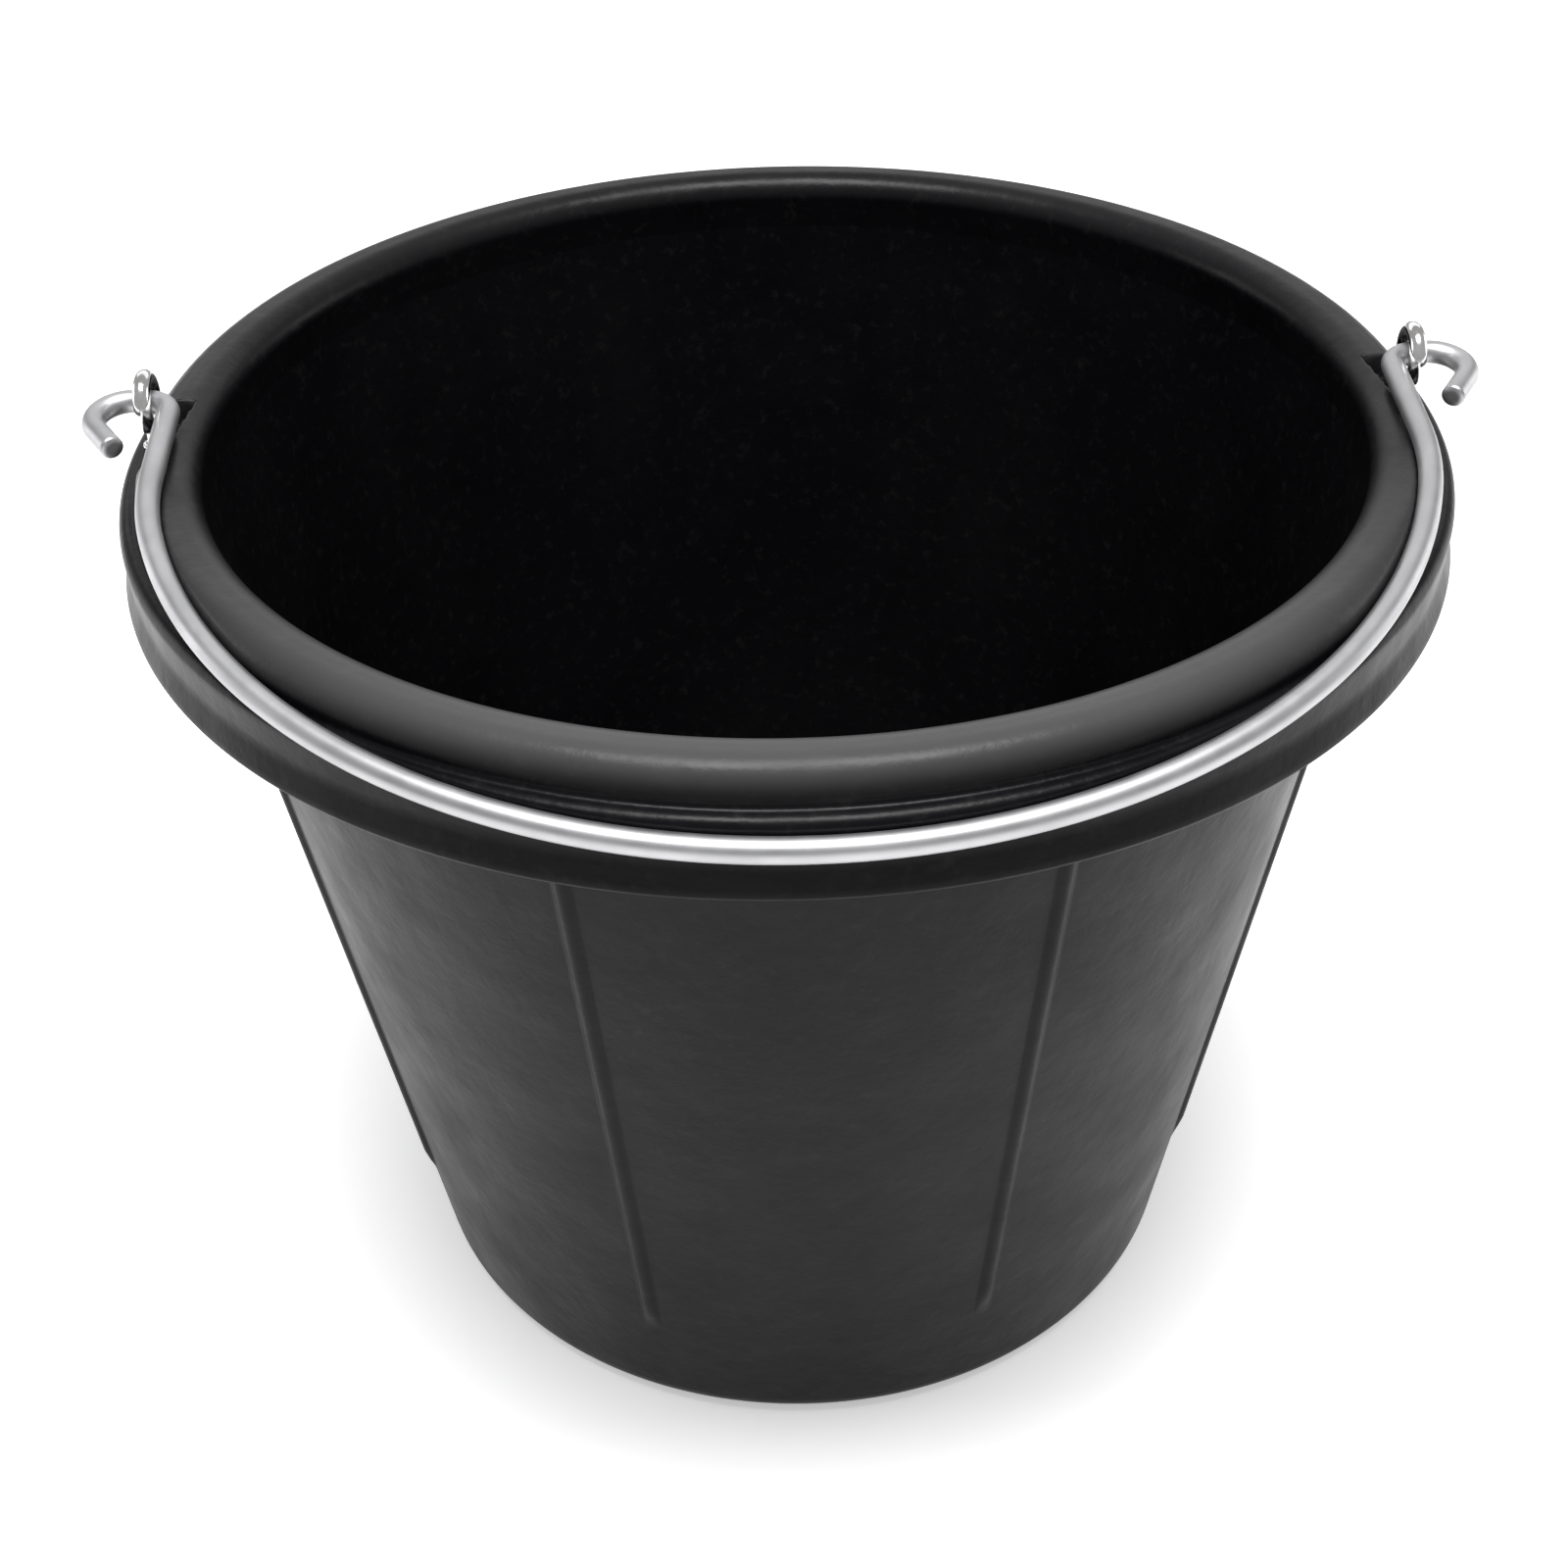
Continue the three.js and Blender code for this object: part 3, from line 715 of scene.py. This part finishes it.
def mix(tree, kind, factor, first, second):
    """A pattern blended with a colour or another pattern; the factor may be a pattern too."""
    node = tree.nodes.new("ShaderNodeMix")
    node.data_type = "RGBA"
    node.blend_type = kind
    if isinstance(factor, (int, float)):
        node.inputs["Factor"].default_value = factor
    else:
        tree.links.new(factor, node.inputs["Factor"])
    tree.links.new(first, node.inputs[6])
    if isinstance(second, tuple):
        node.inputs[7].default_value = (*second, 1)
    else:
        tree.links.new(second, node.inputs[7])
    return node.outputs[2]


def bumps(tree, shader, *layers):
    """Surface relief from several patterns, each with its depth in metres."""
    previous = None
    for source, depth in layers:
        node = tree.nodes.new("ShaderNodeBump")
        node.inputs["Strength"].default_value = 1
        node.inputs["Distance"].default_value = depth
        tree.links.new(source, node.inputs["Height"])
        if previous is not None:
            tree.links.new(previous, node.inputs["Normal"])
        previous = node.outputs["Normal"]
    tree.links.new(previous, shader.inputs["Normal"])


def coordinate(tree, axis):
    """Each point's own X, Y or Z, in metres."""
    place = tree.nodes.new("ShaderNodeTexCoord")
    split = tree.nodes.new("ShaderNodeSeparateXYZ")
    tree.links.new(place.outputs["Object"], split.inputs["Vector"])
    return split.outputs[axis]


def combined(tree, operation, first, second):
    """Two values subtracted, multiplied and so on."""
    node = tree.nodes.new("ShaderNodeMath")
    node.operation = operation
    tree.links.new(first, node.inputs[0])
    tree.links.new(second, node.inputs[1])
    return node.outputs["Value"]


def rubber_material():
    """Dull charcoal rubber: mottling, upright flow streaks, a little dust, and a crown rubbed
    smoother with a painted highlight, palest at the front.
    """
    material, tree, shader = new_material("charcoal_rubber", Specular_IOR_Level=0.10)
    blotches = ramp(tree, noise(tree, scale=9, detail=4),
                    (0.3, (0.002, 0.002, 0.0028)), (0.7, (0.0045, 0.0045, 0.0052)))
    flow = noise(tree, scale=70, detail=3, stretch=(1, 1, 0.07))
    streaks = ramp(tree, flow, (0.35, (0.78, 0.78, 0.8)), (0.7, (1, 1, 1)))
    streaked = mix(tree, "MULTIPLY", 0.6, blotches, streaks)
    specks = noise(tree, scale=260, detail=4, roughness=0.7)
    dust = spread(tree, specks, low=0, high=0.5, from_low=0.55, from_high=0.8)
    dusty = mix(tree, "MIX", dust, streaked, (0.017, 0.017, 0.0175))
    height = coordinate(tree, "Z")
    # painted highlight: the crown's colour is made paler higher up and towards the front
    on_crown = spread(tree, height, low=0, high=0.8,
                      from_low=SEAT_Z + CLEARANCE, from_high=CROWN_HEIGHT)
    in_front = spread(tree, coordinate(tree, "Y"), low=1, high=0.15,
                      from_low=HIGHLIGHT_FRONT_Y, from_high=HIGHLIGHT_BACK_Y)
    painted_highlight = combined(tree, "MULTIPLY", on_crown, in_front)
    colour = mix(tree, "MIX", painted_highlight, dusty, PAINTED_HIGHLIGHT_RUBBER)
    tree.links.new(colour, shader.inputs["Base Color"])
    dull = spread(tree, noise(tree, scale=40, detail=5), low=0.33, high=0.45)
    shine = spread(tree, height, low=0, high=RIM_SHINE,
                   from_low=SKIRT_FOOT_Z, from_high=CROWN_HEIGHT)
    tree.links.new(combined(tree, "SUBTRACT", dull, shine), shader.inputs["Roughness"])
    waviness = noise(tree, scale=60, detail=3)
    grain = noise(tree, scale=900, detail=3, roughness=0.6)
    bumps(tree, shader, (waviness, 0.45 * MM), (grain, 0.05 * MM))
    return material


def wire_material():
    """Zinc-coated wire: satin, with a few dull patches and a fine grain."""
    material, tree, shader = new_material("galvanised_wire", Metallic=1.0)
    tone = ramp(tree, noise(tree, scale=45, detail=4),
                (0.3, (0.41, 0.41, 0.42)), (0.7, (0.49, 0.49, 0.50)))
    tree.links.new(tone, shader.inputs["Base Color"])
    dull = spread(tree, noise(tree, scale=120, detail=4), low=0.42, high=0.5)
    tree.links.new(dull, shader.inputs["Roughness"])
    bumps(tree, shader, (noise(tree, scale=900, detail=2), 0.01 * MM))
    return material


def bright_material():
    """Polished plated steel for the eye bolts."""
    material, tree, shader = new_material("bright_steel", Metallic=1.0)
    tone = ramp(tree, noise(tree, scale=200, detail=3),
                (0.3, (0.72, 0.71, 0.70)), (0.7, (0.86, 0.86, 0.86)))
    tree.links.new(tone, shader.inputs["Base Color"])
    dull = spread(tree, noise(tree, scale=400, detail=3), low=0.08, high=0.2)
    tree.links.new(dull, shader.inputs["Roughness"])
    bumps(tree, shader, (noise(tree, scale=700, detail=2), 0.02 * MM))
    return material


def zinc_material():
    """Plain zinc-plated fasteners, duller and a little cool."""
    material, tree, shader = new_material("zinc_plate", Metallic=1.0)
    tone = ramp(tree, noise(tree, scale=300, detail=4),
                (0.3, (0.50, 0.52, 0.55)), (0.7, (0.68, 0.69, 0.71)))
    tree.links.new(tone, shader.inputs["Base Color"])
    dull = spread(tree, noise(tree, scale=500, detail=4), low=0.25, high=0.45)
    tree.links.new(dull, shader.inputs["Roughness"])
    bumps(tree, shader, (noise(tree, scale=1500, detail=3), 0.02 * MM))
    return material


# ---------------------------------------------------------------------------
# Stage, light and camera
# ---------------------------------------------------------------------------


def soft_light(name, place, width, height, power):
    """A rectangular studio light that points at the bucket."""
    light = bpy.data.lights.new(name, "AREA")
    light.shape = "RECTANGLE"
    light.size = width
    light.size_y = height
    light.energy = power
    lamp = bpy.data.objects.new(name, light)
    lamp.location = place
    towards = Vector(LIGHT_AIM) - Vector(place)
    lamp.rotation_euler = towards.to_track_quat("-Z", "Y").to_euler()
    bpy.context.scene.collection.objects.link(lamp)


def light_stage():
    """A pale floor, a plain surround and soft light from above, behind and both sides."""
    world = bpy.data.worlds.new("studio")
    world.use_nodes = True
    backdrop = world.node_tree.nodes["Background"]
    backdrop.inputs["Color"].default_value = (1, 1, 1, 1)
    backdrop.inputs["Strength"].default_value = SURROUND_STRENGTH
    bpy.context.scene.world = world

    mesh = bpy.data.meshes.new("floor")
    reach = FLOOR_REACH
    corners = [(-reach, -reach, 0), (reach, -reach, 0), (reach, reach, 0), (-reach, reach, 0)]
    mesh.from_pydata(corners, [], [(0, 1, 2, 3)])
    floor = bpy.data.objects.new("floor", mesh)
    bpy.context.scene.collection.objects.link(floor)
    material, tree, shader = new_material("pale_floor", Roughness=0.9,
                                          Emission_Strength=FLOOR_GLOW)
    shader.inputs["Emission Color"].default_value = (1, 1, 1, 1)
    shade = ramp(tree, noise(tree, scale=2, detail=2),
                 (0.3, (0.88, 0.88, 0.88)), (0.7, (0.9, 0.9, 0.9)))
    tree.links.new(shade, shader.inputs["Base Color"])
    mesh.materials.append(material)

    soft_light("top_light", (0, -0.3, 1.9), width=1.1, height=0.6, power=50)
    soft_light("back_light", (0, 2.4, 1.5), width=4.0, height=1.4, power=16)
    soft_light("left_light", (-1.6, 0.5, 0.4), width=0.7, height=0.7, power=4)
    soft_light("right_light", (1.6, 0.5, 0.4), width=0.7, height=0.7, power=4)


def place_camera():
    """The photograph's viewing angle, with its slight roll."""
    turn = Matrix.Rotation(CAMERA_AZIMUTH, 3, "Z")
    forward = Vector((0, math.cos(CAMERA_ELEVATION), -math.sin(CAMERA_ELEVATION)))
    right = Vector((1, 0, 0))
    up = right.cross(forward)
    rolled_right = right * math.cos(CAMERA_ROLL) - up * math.sin(CAMERA_ROLL)
    rolled_up = right * math.sin(CAMERA_ROLL) + up * math.cos(CAMERA_ROLL)
    axes = Matrix((rolled_right, rolled_up, -forward)).transposed()
    camera_data = bpy.data.cameras.new("camera")
    camera_data.sensor_width = 36
    camera_data.lens = CAMERA_LENS
    camera_data.clip_start = 0.01
    camera = bpy.data.objects.new("camera", camera_data)
    bpy.context.scene.collection.objects.link(camera)
    place = turn @ (Vector(CAMERA_TARGET) - forward * CAMERA_DISTANCE)
    camera.matrix_world = Matrix.Translation(place) @ (turn @ axes).to_4x4()
    bpy.context.scene.camera = camera


# ---------------------------------------------------------------------------
# Assembly
# ---------------------------------------------------------------------------


def build():
    """Every piece, each in the place of its CAD node."""
    mesh_piece("rubber_bucket", *bucket_shape(), "bucket", ["bucket_body"], "rubber",
               rubber_material())
    mesh_piece("wire_bail", *bail_shape(), "bail", ["bail_handle"], "galvanised_wire",
               wire_material())
    bolt_points, bolt_faces = eye_bolt_shape()
    washer_points, washer_faces = washer_shape()
    nut_points, nut_faces = nut_shape()
    bright = bright_material()
    zinc = zinc_material()
    for side, place in (("left", -EYE_OFFSET), ("right", EYE_OFFSET)):
        offset = np.array([place, 0, 0])
        mesh_piece(f"eye_bolt_piece_{side}", bolt_points + offset, bolt_faces, "bucket",
                   [f"eye_bolt_{side}"], "bright_steel", bright)
        mesh_piece(f"washer_piece_{side}", washer_points + offset, washer_faces, "bucket",
                   [f"washer_{side}"], "zinc_plate", zinc)
        mesh_piece(f"nut_piece_{side}", nut_points + offset, nut_faces, "bucket",
                   [f"nut_{side}"], "zinc_plate", zinc)


build()
light_stage()
place_camera()
bpy.context.scene.view_settings.view_transform = "Standard"
